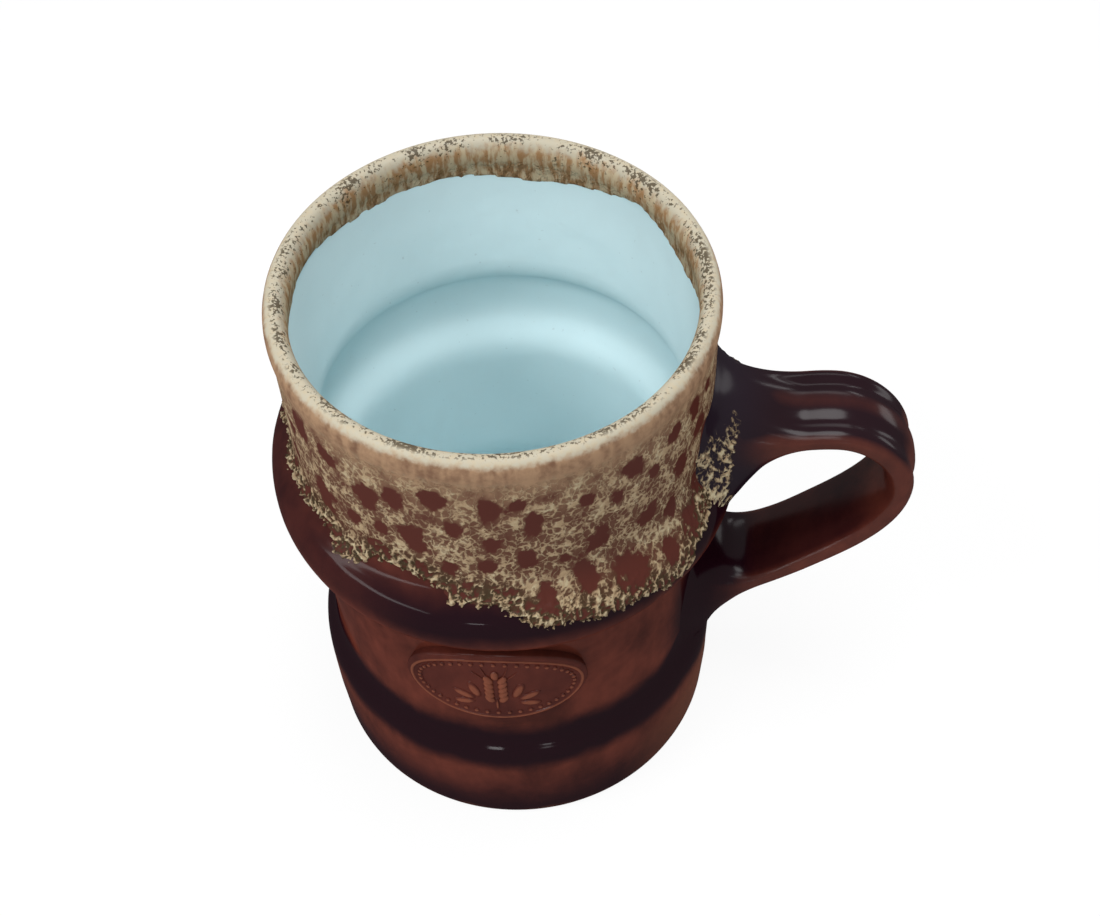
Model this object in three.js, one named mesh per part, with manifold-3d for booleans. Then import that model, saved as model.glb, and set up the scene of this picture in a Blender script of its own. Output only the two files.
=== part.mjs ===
// Ceramic beer mug, in millimetres, +Z up, the origin on the mug's axis where the base rests.
// The handle points along +X and the oval plaque faces -Y.

import * as THREE from 'three';
import { mergeVertices } from 'three/addons/utils/BufferGeometryUtils.js';
import Module from 'manifold-3d';

const wasm = await Module();
wasm.setup();

// Overall height, and the outer radius of each form
const HEIGHT = 137;
const COLLAR_RADIUS = 44;
const BAND_RADIUS = 49.7;
const WAIST_RADIUS = 43.3;
const BASE_RADIUS = 47;

// Height of each form, from the table up; the collar takes what is left
const BASE_FACE = 23.5;
const BASE_SHOULDER = 18;
const WAIST_LENGTH = 33.5;
const BAND_UNDERSIDE = 12;
const BAND_SHOULDER = 16.5;

// Clay and glaze thicknesses
const LIP_CLAY = 4;
const WAIST_CLAY = 4.6;
const BAND_CLAY = 6.3;
const BASE_CLAY = 5.5;
const FLOOR_CLAY = 7;
const LINER_GLAZE = 0.6;
const FROTH_GLAZE = 0.8;
const CLEARANCE = 0.3;

// Edges and drafts of the turned wall
const FOOT_EDGE = 1.6;
const BASE_DRAFT = 0.4;
const COLLAR_DRAFT = 0.4;
const LIP_ROUND = 3.2;
const FLOOR_SWEEP = 12.5;

// Froth glaze: how far it reaches into the mouth, and its lower edge above the band's widest level
const FROTH_MOUTH_DEPTH = 9.6;
const GLAZE_SEAM = 0.9;
const FROTH_EDGE_RISE = 10.2;
const FROTH_HANG = 5.6;
const FROTH_RIPPLE = 0.7;

// Handle strap: its section and how square its edges are, how far its back stands out from the band,
// and its place up the wall
const STRAP_WIDTH = 19.5;
const STRAP_THICKNESS = 6.7;
const EDGE_ROLL = 0.62;
const GRIP_REACH = 38.2;
const GRIP_DROP = 1.6;
const ARCH_RISE = 18.3;
const UPPER_ROOT_RISE = 10;
const LOWER_ROOT_RISE = 3.5;
const ROOT_DEPTH = 5;
const GAP_SIDE_DEPTH = 17;

// Two grooves run along the strap's back: their depth, and their place and half width as shares of
// half the strap's width
const GROOVE_DEPTH = 0.75;
const GROOVE_PLACE = 0.5;
const GROOVE_HALF = 0.2;

// Handle roots: how much the strap thickens and widens into the wall, and over what length
const UPPER_ROOT_SWELL = 18;
const UPPER_ROOT_LENGTH = 20.5;
const LOWER_ROOT_SWELL = 18;
const LOWER_ROOT_LENGTH = 16;
const ROOT_FLARE = 2.4;
const ROOT_SWEEP = 14.3;

// Oval plaque on the waist
const PLAQUE_WIDTH = 41;
const PLAQUE_HEIGHT = 27.6;
const PLAQUE_THICKNESS = 2.6;
const PLAQUE_RISE = 2;
const PLAQUE_BORDER = 2.2;
const PLAQUE_SINK = 0.6;

// Facets round the mug and along its curves
const ROUND_STEPS = 48;
const LINER_STEPS = 38;
const FROTH_STEPS = 96;
const FROTH_RINGS = { shoulder: 8, collar: 1, lip: 6, mouth: 1 };
const PROFILE_STEPS = 3;
const SPINE_STEPS = 40;
const SECTION_STEPS = 26;
const OVAL_STEPS = 14;
const TRACK_STEPS = 600;

// The levels that the heights add up to
const WAIST_FOOT = BASE_FACE + BASE_SHOULDER;
const WAIST_HEAD = WAIST_FOOT + WAIST_LENGTH;
const BAND_LEVEL = WAIST_HEAD + BAND_UNDERSIDE;
const COLLAR_FOOT = BAND_LEVEL + BAND_SHOULDER;
const FROTH_INNER_EDGE = HEIGHT - FROTH_MOUTH_DEPTH;
const LINER_TOP = FROTH_INNER_EDGE - GLAZE_SEAM;

// The clay lies under the froth glaze, so the collar is turned smaller by the coat
const COAT = CLEARANCE + FROTH_GLAZE;
const CLAY_COLLAR = COLLAR_RADIUS - COAT;
const CLAY_TOP = HEIGHT - COAT;
const CLAY_MOUTH = CLAY_COLLAR - LIP_CLAY;
const LIP_SHOULDER = CLAY_TOP - LIP_ROUND;

// Handle length of a Bezier curve that turns a quarter circle, as a share of its radius
const QUARTER = 0.55;

// S-shaped stretches of the wall: each pair is a share of the change in radius and of the change in height.
// The third pair is the point where the two halves of the S meet, and the others are its curve handles.
const SOFT_SWEEP = [[0, 0.24], [0.18, 0.34], [0.44, 0.46], [0.69, 0.59], [1, 0.69]];
const LEDGE_SWEEP = [[0, 0.26], [0.13, 0.36], [0.42, 0.45], [0.71, 0.54], [1, 0.62]];
const TUCKED_SWEEP = [[0, 0.3], [0.33, 0.35], [0.58, 0.44], [0.88, 0.55], [1, 0.75]];

const mix = THREE.MathUtils.lerp;

function turn(points, steps) {
  const geometry = new THREE.LatheGeometry(points, steps);
  return geometry.rotateX(Math.PI / 2);
}

// Bare triangles on shared corners, without the zero-width ones that a lathe leaves on its axis
function welded(geometry) {
  const bare = geometry.clone();
  bare.deleteAttribute('normal');
  bare.deleteAttribute('uv');
  const merged = mergeVertices(bare, 1e-4);
  const corners = merged.index.array;
  const kept = [];
  for (let i = 0; i < corners.length; i += 3) {
    const [a, b, c] = [corners[i], corners[i + 1], corners[i + 2]];
    if (a !== b && b !== c && c !== a) kept.push(a, b, c);
  }
  merged.setIndex(kept);
  return merged;
}

function solidOf(geometry) {
  const merged = welded(geometry);
  return new wasm.Manifold(new wasm.Mesh({
    numProp: 3,
    vertProperties: new Float32Array(merged.attributes.position.array),
    triVerts: new Uint32Array(merged.index.array),
  }));
}

function geometryOf(solid) {
  const mesh = solid.getMesh();
  const geometry = new THREE.BufferGeometry();
  geometry.setAttribute('position', new THREE.BufferAttribute(new Float32Array(mesh.vertProperties), 3));
  geometry.setIndex(new THREE.BufferAttribute(new Uint32Array(mesh.triVerts), 1));
  geometry.computeVertexNormals();
  return geometry;
}

// Direction of travel at one point of a row of points
function heading(points, i) {
  const before = points[Math.max(i - 1, 0)];
  const after = points[Math.min(i + 1, points.length - 1)];
  return after.clone().sub(before).normalize();
}

// Each profile point moves to the right of its direction of travel, which is the open-air side
function offset(points, distance) {
  return points.map((point, i) => {
    const along = heading(points, i);
    const moved = new THREE.Vector2(point.x + along.y * distance, point.y - along.x * distance);
    if (point.x < 1e-6) moved.x = 0;
    return moved;
  });
}

// One S-shaped stretch of the wall from the path's end to a radius and height
function sweep(path, shares, radius, height) {
  const start = path.currentPoint.clone();
  const at = ([across, up]) => [mix(start.x, radius, across), mix(start.y, height, up)];
  const [first, second, middle, third, fourth] = shares.map(at);
  path.bezierCurveTo(...first, ...second, ...middle);
  path.bezierCurveTo(...third, ...fourth, radius, height);
}

// Outside of the wall: foot edge, base, shoulder, waist, swelling band and collar
function outerWall(path) {
  const foot = BASE_RADIUS - BASE_DRAFT;
  path.lineTo(foot - FOOT_EDGE, 0);
  path.quadraticCurveTo(foot, 0, foot, FOOT_EDGE);
  path.lineTo(BASE_RADIUS, BASE_FACE / 2);
  path.lineTo(BASE_RADIUS, BASE_FACE);
  sweep(path, LEDGE_SWEEP, WAIST_RADIUS, WAIST_FOOT);
  path.lineTo(WAIST_RADIUS, WAIST_HEAD);
  sweep(path, TUCKED_SWEEP, BAND_RADIUS, BAND_LEVEL);
  shoulderAndCollar(path);
}

function shoulderAndCollar(path) {
  sweep(path, SOFT_SWEEP, CLAY_COLLAR + COLLAR_DRAFT, COLLAR_FOOT);
  path.lineTo(CLAY_COLLAR, LIP_SHOULDER);
}

// The lip is a round bead that turns from the collar into the mouth
function lip(path) {
  const half = LIP_CLAY / 2;
  const crown = CLAY_COLLAR - half;
  const pull = LIP_SHOULDER + QUARTER * LIP_ROUND;
  path.bezierCurveTo(CLAY_COLLAR, pull, crown + QUARTER * half, CLAY_TOP, crown, CLAY_TOP);
  path.bezierCurveTo(crown - QUARTER * half, CLAY_TOP, CLAY_MOUTH, pull, CLAY_MOUTH, LIP_SHOULDER);
}

// Inside of the wall, which follows the outside because the clay is cast to an even thickness
function innerWall(path) {
  const baseInside = BASE_RADIUS - BASE_CLAY;
  const waistInside = WAIST_RADIUS - WAIST_CLAY;
  const floorEdge = baseInside - FLOOR_SWEEP;
  path.lineTo(CLAY_MOUTH, COLLAR_FOOT);
  sweep(path, TUCKED_SWEEP, BAND_RADIUS - BAND_CLAY, BAND_LEVEL);
  sweep(path, SOFT_SWEEP, waistInside, WAIST_HEAD - BAND_UNDERSIDE / 3);
  path.lineTo(waistInside, WAIST_FOOT);
  sweep(path, SOFT_SWEEP, baseInside, BASE_FACE);
  path.lineTo(baseInside, FLOOR_CLAY + FLOOR_SWEEP);
  path.bezierCurveTo(
    baseInside, FLOOR_CLAY + (1 - QUARTER) * FLOOR_SWEEP,
    floorEdge + QUARTER * FLOOR_SWEEP, FLOOR_CLAY,
    floorEdge, FLOOR_CLAY,
  );
  path.lineTo(0, FLOOR_CLAY);
}

// Clay body
function bodyProfile() {
  const path = new THREE.Path();
  path.moveTo(0, 0);
  outerWall(path);
  lip(path);
  innerWall(path);
  return path.getPoints(PROFILE_STEPS);
}

// White glaze inside: a cup with a skin against the clay and a skin against the drink
function linerProfile() {
  const path = new THREE.Path();
  path.moveTo(CLAY_MOUTH, LINER_TOP);
  innerWall(path);
  const clay = path.getPoints(PROFILE_STEPS);
  const under = offset(clay, CLEARANCE).reverse();
  const over = offset(clay, CLEARANCE + LINER_GLAZE);
  return [...under, ...over];
}

// Lobes of the froth's ragged lower edge, by angle from the plaque towards the handle: an angle and
// a half width in degrees, and how far the lobe hangs, as a share of the usual hang
const FROTH_LOBES = [
  [34, 22, 1.5],
  [8, 14, 0.5],
  [54, 11, 1],
  [-22, 8, -0.35],
  [-38, 7, 0.2],
  [-100, 18, 0.54],
  [-150, 20, 0.75],
  [165, 14, -0.6],
  [130, 12, 0.68],
];

function angleBetween(a, b) {
  const turned = (a - b + 540) % 360;
  return turned - 180;
}

function frothEdge(degrees) {
  let height = BAND_LEVEL + FROTH_EDGE_RISE;
  for (const [centre, half, hang] of FROTH_LOBES) {
    const away = angleBetween(degrees, centre) / half;
    height -= FROTH_HANG * hang * Math.exp(-away * away);
  }
  const radians = THREE.MathUtils.degToRad(degrees);
  return height + FROTH_RIPPLE * (Math.sin(13 * radians + 0.6) + 0.7 * Math.sin(21 * radians));
}

// Steps of the coat along its track: shoulder and cove, collar, lip, then a little way into the mouth
function frothStations(first, collarFoot, lipFoot, mouth, last) {
  const stops = [first, Math.max(collarFoot, mix(first, lipFoot, 0.3)), lipFoot, mouth, last];
  const stations = [first];
  Object.values(FROTH_RINGS).forEach((count, stretch) => {
    for (let i = 1; i <= count; i += 1) {
      stations.push(Math.round(mix(stops[stretch], stops[stretch + 1], i / count)));
    }
  });
  return stations;
}

// The coat follows the clay up the outside from its edge, over the lip and down to its inner edge
function frothGeometry() {
  const path = new THREE.Path();
  path.moveTo(BAND_RADIUS, BAND_LEVEL);
  shoulderAndCollar(path);
  lip(path);
  path.lineTo(CLAY_MOUTH, FROTH_INNER_EDGE);
  const track = path.getSpacedPoints(TRACK_STEPS);
  const innerSkin = offset(track, CLEARANCE);
  const outerSkin = offset(track, COAT);
  const crown = track.reduce((best, point, i) => (point.y > track[best].y ? i : best), 0);
  const climb = (height) => track.findIndex((point, i) => i <= crown && point.y >= height);
  const mouth = track.findIndex((point, i) => i > crown && point.y <= LIP_SHOULDER);

  const rings = 1 + Object.values(FROTH_RINGS).reduce((sum, count) => sum + count, 0);
  const loop = 2 * rings;
  const placeholder = Array.from({ length: loop + 1 }, () => new THREE.Vector2(COLLAR_RADIUS, HEIGHT));
  const geometry = new THREE.LatheGeometry(placeholder, FROTH_STEPS);
  const position = geometry.attributes.position;
  for (let step = 0; step <= FROTH_STEPS; step += 1) {
    const angle = ((step % FROTH_STEPS) / FROTH_STEPS) * 2 * Math.PI;
    const first = climb(frothEdge(THREE.MathUtils.radToDeg(angle)));
    const stations = frothStations(first, climb(COLLAR_FOOT), climb(LIP_SHOULDER), mouth, track.length - 1);
    for (let ring = 0; ring <= loop; ring += 1) {
      const place = ring % loop;
      const outside = place < rings;
      const index = stations[outside ? place : loop - 1 - place];
      const point = outside ? outerSkin[index] : innerSkin[index];
      const corner = step * (loop + 1) + ring;
      position.setXYZ(corner, point.x * Math.sin(angle), point.y, point.x * Math.cos(angle));
    }
  }
  return coatRoundRoot(solidOf(geometry.rotateX(Math.PI / 2)));
}

// The coat stops short of the handle's root by the clearance, all the way round it
function coatRoundRoot(coat) {
  const shifts = [[CLEARANCE, 0], [-CLEARANCE, 0], [0, CLEARANCE], [0, -CLEARANCE]];
  let cut = coat;
  for (const [across, up] of shifts) {
    cut = cut.subtract(solidOf(strapGeometry().translate(0, across, up)));
  }
  return geometryOf(cut);
}

// Middle line of the strap: out of the collar, over the arch, round the grip and back in to the waist
function handleSpine() {
  const wall = Math.min(WAIST_RADIUS, CLAY_COLLAR);
  const inside = wall - ROOT_DEPTH;
  const grip = BAND_RADIUS + GRIP_REACH - STRAP_THICKNESS / 2;
  const arch = BAND_LEVEL + ARCH_RISE - STRAP_THICKNESS / 2;
  const gripLevel = BAND_LEVEL - GRIP_DROP;
  const upperRoot = BAND_LEVEL + UPPER_ROOT_RISE;
  const lowerRoot = WAIST_FOOT + LOWER_ROOT_RISE;
  const out = (share) => mix(BAND_RADIUS, grip, share);
  const up = (share) => mix(lowerRoot, gripLevel, share);

  const crest = out(0.55);
  const path = new THREE.Path();
  path.moveTo(inside, upperRoot);
  path.lineTo(wall, upperRoot);
  path.bezierCurveTo(out(0), upperRoot, out(0.28), arch, crest, arch);
  path.bezierCurveTo(mix(crest, grip, QUARTER), arch, grip, mix(arch, gripLevel, QUARTER), grip, gripLevel);
  path.bezierCurveTo(grip, up(0.69), out(0.68), up(0.46), out(0.51), up(0.32));
  path.bezierCurveTo(out(0.34), up(0.18), out(0.07), lowerRoot, wall, lowerRoot);
  path.lineTo(inside, lowerRoot);
  return path;
}

// Half the strap's thickness at a distance along the spine: even, then swelling into each root.
// The root starts inside the wall and keeps its full swell up to the wall's face. On the side of the
// finger gap it is no deeper than the flank of the band that it is luted to.
function strapHalf(distance, length, side) {
  const near = (reach, from) => THREE.MathUtils.clamp((reach + ROOT_DEPTH - from) / reach, 0, 1);
  const upper = UPPER_ROOT_SWELL * near(UPPER_ROOT_LENGTH, distance) ** 1.5;
  const lower = LOWER_ROOT_SWELL * near(LOWER_ROOT_LENGTH, length - distance) ** 2;
  const half = STRAP_THICKNESS / 2 + upper + lower;
  return side < 0 ? Math.min(half, GAP_SIDE_DEPTH) : half;
}

// Corner of a section whose edges are rolled over: the circle is pushed out towards its box
function rolled(share) {
  return Math.sign(share) * Math.abs(share) ** EDGE_ROLL;
}

// Depth of the two grooves on the strap's back; they run out towards the edges and into the roots
function groove(share, side) {
  if (side <= 0) return 0;
  const away = (Math.abs(share) - GROOVE_PLACE) / GROOVE_HALF;
  return GROOVE_DEPTH * Math.exp(-away * away) * Math.min(1, 2 * side);
}

// The strap is lofted along its spine, and widens in a hollow sweep where it is luted to the wall
function strapGeometry() {
  const spine = handleSpine();
  const length = spine.getLength();
  const geometry = new THREE.CylinderGeometry(1, 1, 1, SECTION_STEPS, SPINE_STEPS);
  const position = geometry.attributes.position;
  const sweepEnd = BAND_RADIUS + ROOT_SWEEP;
  for (let i = 0; i < position.count; i += 1) {
    const share = 0.5 - position.getY(i);
    const station = spine.getPoint(share);
    const along = spine.getTangent(share);
    const reach = THREE.MathUtils.clamp((sweepEnd - station.x) / (sweepEnd - COLLAR_RADIUS), 0, 1.2);
    const edge = rolled(position.getX(i));
    const across = edge * (STRAP_WIDTH / 2 + ROOT_FLARE * reach * reach);
    const side = rolled(position.getZ(i));
    const sunk = groove(edge, side) * Math.max(0, 1 - reach);
    const lift = side * strapHalf(share * length, length, side) - sunk;
    position.setXYZ(i, station.x - along.y * lift, across, station.y + along.x * lift);
  }
  return geometry;
}

// The strap is cut to the outside of the wall, where it is luted on
function handleGeometry() {
  const wall = new THREE.Path();
  wall.moveTo(0, 0);
  outerWall(wall);
  wall.lineTo(CLAY_COLLAR, CLAY_TOP);
  const seat = offset(wall.getPoints(2 * PROFILE_STEPS), CLEARANCE);
  const closed = [new THREE.Vector2(0, seat[0].y), ...seat, new THREE.Vector2(0, CLAY_TOP)];
  return geometryOf(solidOf(strapGeometry()).subtract(solidOf(turn(closed, ROUND_STEPS))));
}

// An oval piece of a wall that follows the waist, between two radii
function ovalOfWall(inside, outside, width, height) {
  const level = (WAIST_FOOT + WAIST_HEAD) / 2 + PLAQUE_RISE;
  const ring = new THREE.Path();
  ring.moveTo(inside, level - height);
  ring.lineTo(outside, level - height);
  ring.lineTo(outside, level + height);
  ring.lineTo(inside, level + height);
  ring.lineTo(inside, level - height);

  const chord = outside * Math.sin(width / 2 / outside);
  const oval = new THREE.Shape();
  oval.absellipse(0, 0, chord, height / 2, 0, 2 * Math.PI);
  const cutter = new THREE.ExtrudeGeometry(oval, {
    depth: outside,
    curveSegments: OVAL_STEPS,
    bevelEnabled: false,
  });
  cutter.rotateX(Math.PI / 2);
  cutter.translate(0, 0, level);
  return solidOf(turn(ring.getPoints(1), 2 * ROUND_STEPS)).intersect(solidOf(cutter));
}

// Plaque: an oval clay sprig with a raised border round a sunk field
function plaqueGeometry() {
  const back = WAIST_RADIUS + CLEARANCE;
  const face = back + PLAQUE_THICKNESS;
  const slab = ovalOfWall(back, face, PLAQUE_WIDTH, PLAQUE_HEIGHT);
  const field = ovalOfWall(
    face - PLAQUE_SINK,
    face + PLAQUE_SINK,
    PLAQUE_WIDTH - 2 * PLAQUE_BORDER,
    PLAQUE_HEIGHT - 2 * PLAQUE_BORDER,
  );
  return geometryOf(slab.subtract(field));
}

function material(colour, roughness) {
  return new THREE.MeshStandardMaterial({ color: colour, roughness, metalness: 0 });
}

function piece(name, geometry, look) {
  const mesh = new THREE.Mesh(geometry, look);
  mesh.name = name;
  return mesh;
}

const mug = new THREE.Group();
mug.add(
  piece('mug_body', turn(bodyProfile(), ROUND_STEPS), material(0x5a2a1c, 0.18)),
  piece('liner_glaze', turn(linerProfile(), LINER_STEPS), material(0xc4dde2, 0.22)),
  piece('froth_glaze', frothGeometry(), material(0xd9cda6, 0.45)),
  piece('handle', handleGeometry(), material(0x3c2320, 0.18)),
  piece('plaque', plaqueGeometry(), material(0x6a3524, 0.2)),
);

export default mug;
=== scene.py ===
import math
import random
from collections import namedtuple

import bmesh
import bpy
import numpy as np
from mathutils import Matrix, Vector, geometry, noise


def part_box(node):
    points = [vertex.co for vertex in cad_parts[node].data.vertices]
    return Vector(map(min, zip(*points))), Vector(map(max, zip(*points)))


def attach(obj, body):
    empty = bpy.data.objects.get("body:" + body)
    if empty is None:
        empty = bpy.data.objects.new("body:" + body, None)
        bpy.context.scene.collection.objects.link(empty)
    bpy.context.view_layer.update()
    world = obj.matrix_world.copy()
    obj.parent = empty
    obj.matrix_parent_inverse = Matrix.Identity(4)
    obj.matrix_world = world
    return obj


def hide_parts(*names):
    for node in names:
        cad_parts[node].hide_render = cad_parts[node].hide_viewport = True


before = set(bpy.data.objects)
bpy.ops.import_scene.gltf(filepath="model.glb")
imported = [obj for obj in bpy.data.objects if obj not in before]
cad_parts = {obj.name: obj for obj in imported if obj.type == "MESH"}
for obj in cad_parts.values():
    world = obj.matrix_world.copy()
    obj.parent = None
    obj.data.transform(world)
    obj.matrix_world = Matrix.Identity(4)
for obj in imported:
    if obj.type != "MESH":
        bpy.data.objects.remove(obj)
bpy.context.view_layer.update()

bl_info = {
    "name": "Glazed Beer Mug",
    "version": (1, 0, 0),
    "blender": (4, 5, 0),
    "location": "View3D > Sidebar > Mug",
    "description": "Builds a glazed ceramic beer mug round its packed solids",
    "category": "Add Mesh",
}

BODY = "root"
MM = 0.001
FULL_TURN = 2 * math.pi

# Corners of the solids, which give the sizes that the looks share with them
WALL_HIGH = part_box("mug_body")[1]
COAT_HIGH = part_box("froth_glaze")[1]
STRAP_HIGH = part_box("handle")[1]
PLAQUE_LOW, PLAQUE_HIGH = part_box("plaque")

# Heights at which the forms of the wall meet
Levels = namedtuple("Levels", "waist_foot waist_head band collar_foot")

# S-shaped stretches of the wall, as shares of the change in radius and in height
SOFT_SWEEP = ((0, 0.24), (0.18, 0.34), (0.44, 0.46), (0.69, 0.59), (1, 0.69))
LEDGE_SWEEP = ((0, 0.26), (0.13, 0.36), (0.42, 0.45), (0.71, 0.54), (1, 0.62))
TUCKED_SWEEP = ((0, 0.3), (0.33, 0.35), (0.58, 0.44), (0.88, 0.55), (1, 0.75))

# Pull of a curve's control points for a quarter circle, as a share of its radius
QUARTER = 0.55

# Steps of a full turn
WALL_STEPS = 240
LINER_STEPS = 192
COAT_STEPS = 720
PLAQUE_STEPS = 160

# Thickness of the clay, its rounded edges, the lean of its upright walls and the glaze's slow waves
WAIST_CLAY = 4.6 * MM
BAND_CLAY = 6.3 * MM
BASE_CLAY = 5.5 * MM
FLOOR_CLAY = 7 * MM
FLOOR_ROUND = 12.5 * MM
FOOT_EDGE = 1.6 * MM
DRAFT = 0.4 * MM
WAVE_DEPTH = 0.22 * MM

# Where the brown glaze is painted near black in the cove and on the shoulder, as pooled glaze and a
# painted dark reflection of the sky: start and end over two levels of the wall, and length of the soft
# ends
COVE_POOL_AND_REFLECTION = (1.8 * MM, -3.3 * MM, 6 * MM)
SHOULDER_POOL_AND_REFLECTION = (-2 * MM, -6 * MM, 9 * MM)

# Heights between which the painted shade of the dark foot and the amber edges fade, and distances
# towards the handle; on the handle side the foot gets painted light and amber, and far from it the
# shoulder is painted less dark
FOOT_SHADE = (3 * MM, 24 * MM)
FOOT_RIM = (0.4 * MM, 2.6 * MM)
LIT_FOOT = (14 * MM, 28 * MM)
HANDLE_SIDE = (24 * MM, 46 * MM)
FAR_SIDE = (-45 * MM, -10 * MM)

# The dark oval behind the lower root, painted shade where the strap meets the wall over pooled glaze:
# its middle height and half sizes
ROOT_POOL_SHADE_LEVEL = 49 * MM
ROOT_POOL_SHADE_WIDE, ROOT_POOL_SHADE_TALL = 18.5 * MM, 27 * MM

# Lobes of the froth's lower edge: angle in degrees from the plaque towards the handle, half width,
# and share of the hang
FROTH_LOBES = (
    (34, 22, 1.5),
    (8, 14, 0.5),
    (54, 11, 1.0),
    (-22, 8, -0.35),
    (-38, 7, 0.2),
    (-100, 18, 0.54),
    (-150, 20, 0.75),
    (165, 14, -0.6),
    (130, 12, 0.68),
)

# Lobes of the froth's edge inside the mouth: angle, half width, drop in metres
MOUTH_LOBES = ((174, 14, 1.6 * MM), (-105, 12, -2.0 * MM), (138, 9, -2.2 * MM), (112, 14, 2.2 * MM))

# The froth's lower edge over the band, the hang of its lobes, its ripple, and the edge in the mouth
FROTH_RISE = 10.2 * MM
FROTH_HANG = 5.6 * MM
FROTH_RIPPLE = 0.7 * MM
MOUTH_DROP = 9.7 * MM

# The froth's strands and windows; the radii are the least, the most and the usual, in millimetres
STRAND_SPACING = 1.7 * MM
WINDOW_SEED = 11
WINDOW_TRIES = 2600
WINDOW_RADII = (1.0, 3.2, 1.8)
WINDOW_STRETCH = (1.1, 1.8)
WINDOW_GAP = 2.5 * MM
WINDOW_FOOT, WINDOW_HEAD = 7 * MM, 12 * MM

# Index of the gloss on the glazes, at which it mirrors a quarter of its weight
GLOSS_INDEX = 3.0

# Depths under the lip at which the froth changes its colour
LIP_ZONE = (0.8 * MM, 2.2 * MM)
TAN_ZONE = (5 * MM, 11 * MM)
HAZE_ZONE = (8 * MM, 22 * MM)
RUN_ZONE = (0.4 * MM, 3.4 * MM)
MOTTLE_ZONE = (4.8 * MM, 10 * MM)
SPECK_ZONE = (3.4 * MM, 6 * MM)

# The plaque's border and field, and how it lies on the waist
PLAQUE_RIM = 4 * MM
PLAQUE_INSET = 2.4 * MM
PLAQUE_FIELD = 1.7 * MM
PLAQUE_EDGE = 0.9 * MM
PLAQUE_RISE = 2 * MM
PLAQUE_GAP = 0.3 * MM
PLAQUE_BEND = 2.9 * MM

# The plaque's relief: half sizes of its grains in millimetres
BEAD = (0.62, 0.62, 0.50)
KERNEL = (0.95, 1.75, 0.85)
TIP = (0.9, 1.8, 0.85)
STALK = (0.35, 2.6, 0.5)
AWN = (0.2, 2.6, 0.35)
LEAF_WIDE, LEAF_THICK = 1.15, 0.55

# Where the grains lie: awns by lean in degrees and reach, leaves by lean, reach and half length
RELIEF_LEVEL = 1.62 * MM
BEADS, BEAD_INSET = 44, 3.4 * MM
KERNEL_ROWS = (-4, -2, 0, 2, 4)
KERNEL_SIDE, KERNEL_LEAN = 1.5 * MM, math.radians(-26)
TIP_LEVEL, STALK_LEVEL = 6 * MM, -6.6 * MM
AWN_ROOT, LEAF_ROOT = (1.0, 2.4), (3.2, -5.6)
AWNS = ((16, 7.6), (40, 6.6))
LEAVES = ((18, 8.2, 3.4), (58, 7.6, 3.0), (98, 6.6, 2.6))
BLADE_MIDDLE = 0.62

# Lamps: name, place, size and power in watts, all turned to the middle of the mug
LAMPS = (
    ("top", (0.10, -0.05, 0.95), (0.5, 0.5), 5.9),
    ("back", (0.15, 0.80, 0.65), (0.60, 0.20), 1.3),
    ("key", (0.06, -0.54, 0.90), (0.34, 0.34), 1.8),
    ("edge_strip", (0.0, -0.76, 0.74), (0.80, 0.05), 0.9),
    ("left", (-0.50, -0.28, 0.82), (0.40, 0.24), 3.6),
    ("side_strip", (-0.85, -0.53, 0.20), (1.2, 0.07), 2.3),
    ("front_left", (-0.14, -1.0, 0.05), (0.12, 0.03), 0.22),
    ("front_right", (0.26, -1.0, 0.05), (0.08, 0.02), 0.10),
    ("root", (0.47, 0.81, 0.42), (0.26, 0.12), 0.8),
    ("rim", (0.80, 0.50, 0.14), (0.30, 0.30), 1.6),
)
LAMP_TARGET = (0, 0, 0.08)

# The floor's half size, and the distances between which it fades into the white
FLOOR_SIZE = 4
FLOOR_FADE = (0.2, 0.7)


def length(name, value, description):
    """A size in metres that a user may change."""
    return bpy.props.FloatProperty(
        name=name, description=description, default=value, unit="LENGTH", precision=5
    )


def number(name, value, description):
    """A plain number that a user may change."""
    return bpy.props.FloatProperty(name=name, description=description, default=value)


def colour(name, value, description):
    """A linear colour that a user may change."""
    return bpy.props.FloatVectorProperty(
        name=name, description=description, default=value, size=3, subtype="COLOR", min=0, max=1
    )


class MugSizes(bpy.types.PropertyGroup):
    """Sizes of the turned wall, the strap and the plaque."""

    height: length("Height", COAT_HIGH.z, "From the table to the top of the lip")
    collar: length("Collar radius", 44 * MM, "Outside of the glazed collar")
    band: length("Band radius", WALL_HIGH.y, "Outside of the swelling band")
    waist: length("Waist radius", 43.3 * MM, "Outside of the waist behind the plaque")
    base: length("Base radius", 47 * MM, "Outside of the base")
    base_face: length("Base face", 23.5 * MM, "Height of the upright part of the base")
    base_shoulder: length("Base shoulder", 18 * MM, "Height of the sweep from base to waist")
    waist_length: length("Waist length", 33.5 * MM, "Height of the upright waist")
    band_underside: length("Band underside", 12 * MM, "Height of the sweep under the band")
    band_shoulder: length("Band shoulder", 16.5 * MM, "Height of the sweep from band to collar")
    lip_edge: length("Lip edge", 3 * MM, "Thickness of the clay at the very lip")
    lip_clay: length("Collar clay", 4 * MM, "Thickness of the wall at the foot of the collar")
    lip_round: length("Lip round", 3.2 * MM, "Height of the rounded lip")
    coat: length("Froth coat", 1.1 * MM, "Room for the froth glaze over the clay")
    liner: length("Liner glaze", 0.9 * MM, "Room for the white glaze inside the clay")
    strap_width: length("Strap width", 19.5 * MM, "Width of the handle strap")
    strap_thickness: length("Strap thickness", 6.7 * MM, "Thickness of the handle strap")
    grip: length("Grip", STRAP_HIGH.x, "How far the back of the strap stands from the axis")
    plaque_width: length("Plaque width", 41 * MM, "Width of the plaque round the waist")
    plaque_height: length("Plaque height", PLAQUE_HIGH.z - PLAQUE_LOW.z, "Height of the plaque")


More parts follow.
